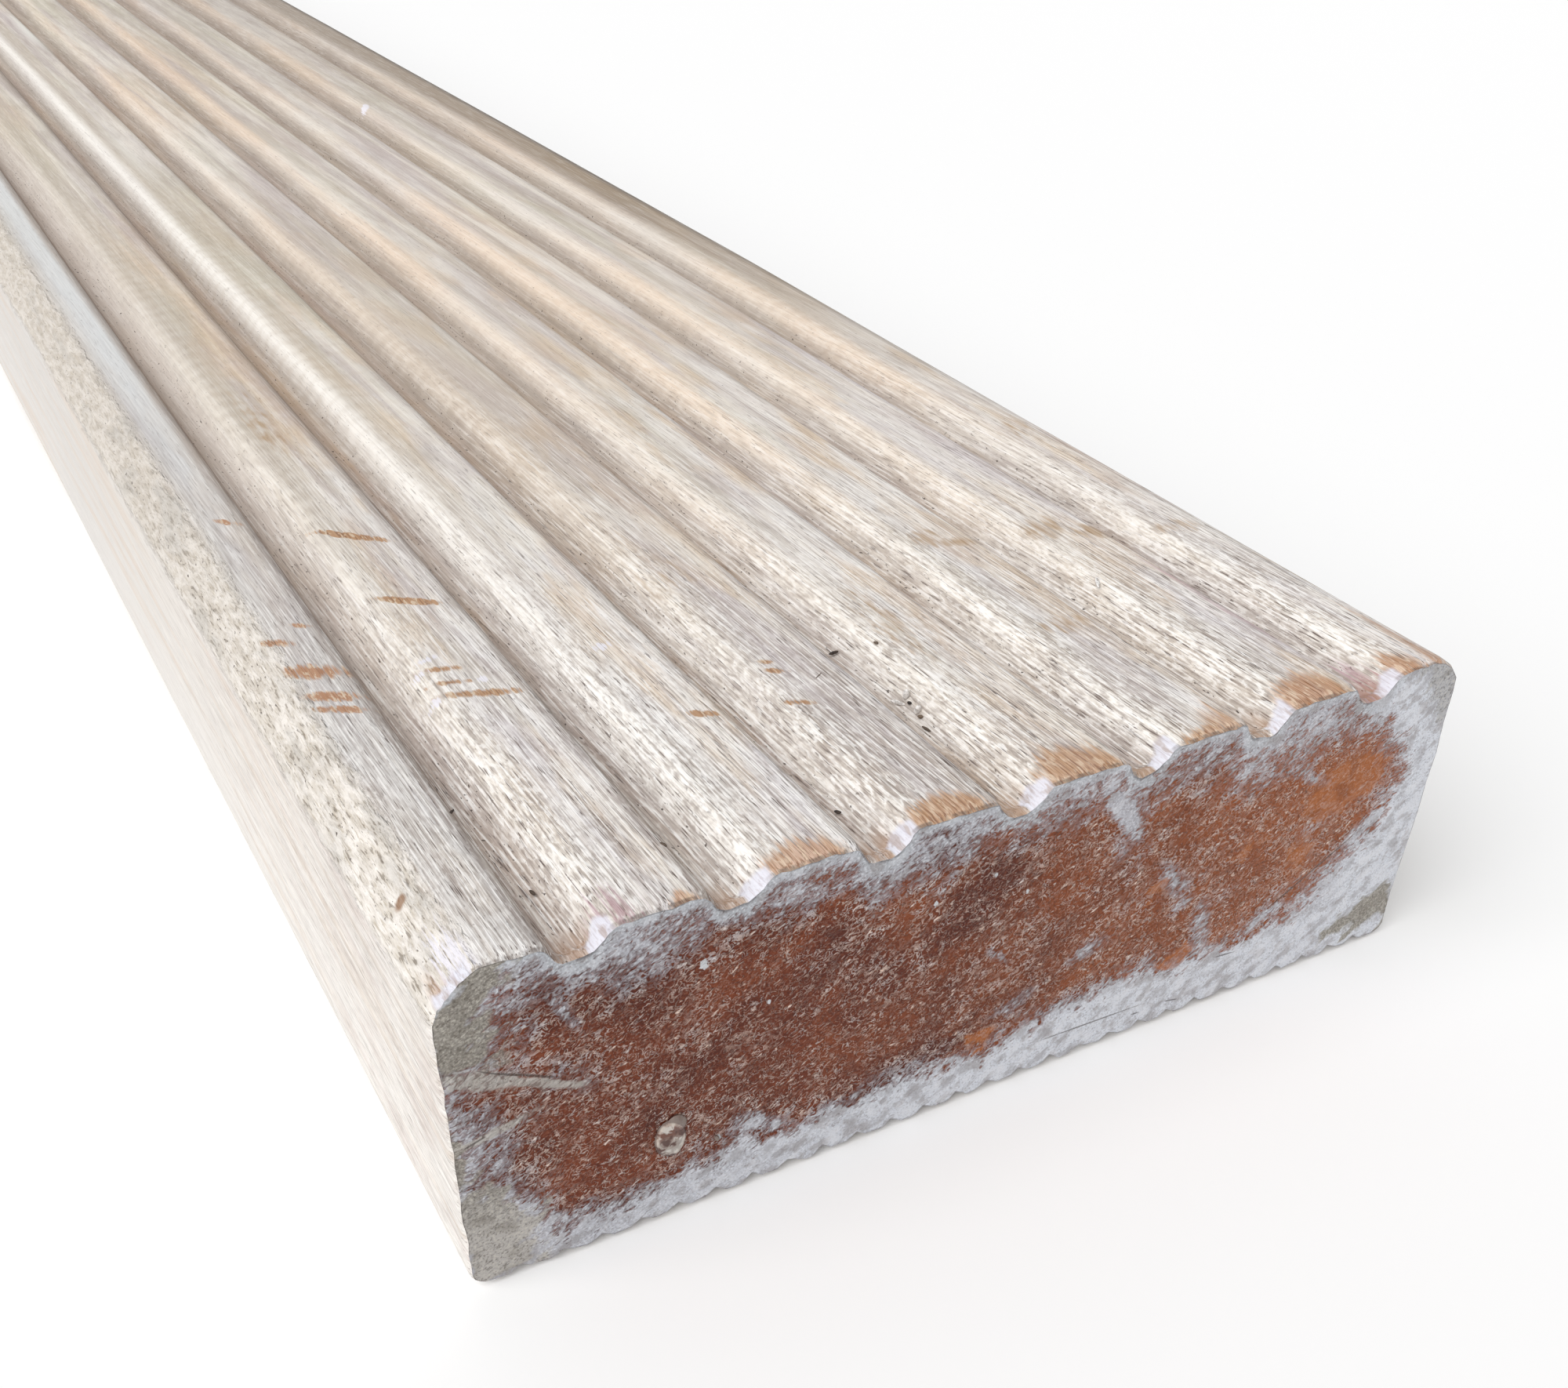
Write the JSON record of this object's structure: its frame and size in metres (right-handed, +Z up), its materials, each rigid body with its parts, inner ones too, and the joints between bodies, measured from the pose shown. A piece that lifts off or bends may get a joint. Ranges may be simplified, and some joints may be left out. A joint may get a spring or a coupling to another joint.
{
  "type": "decking board",
  "caption": "Hardwood decking board, 145 by 47 mm and 2.44 m long, with seven broad grooves along the tread face, fine reeding on the underside and wax-sealed ends.",
  "frame": {"origin": "middle of the board's underside, on the plane of the rib crests that it lies on", "axes": "+X along the board towards the end that the picture shows, +Y across the board towards the picture's right, +Z up out of the grooved tread face"},
  "size_m": [2.44, 0.145, 0.047],
  "materials": {
    "hardwood": "matte"
  },
  "bodies": {
    "root": {"decking_board": "hardwood"}
  },
  "joints": []
}
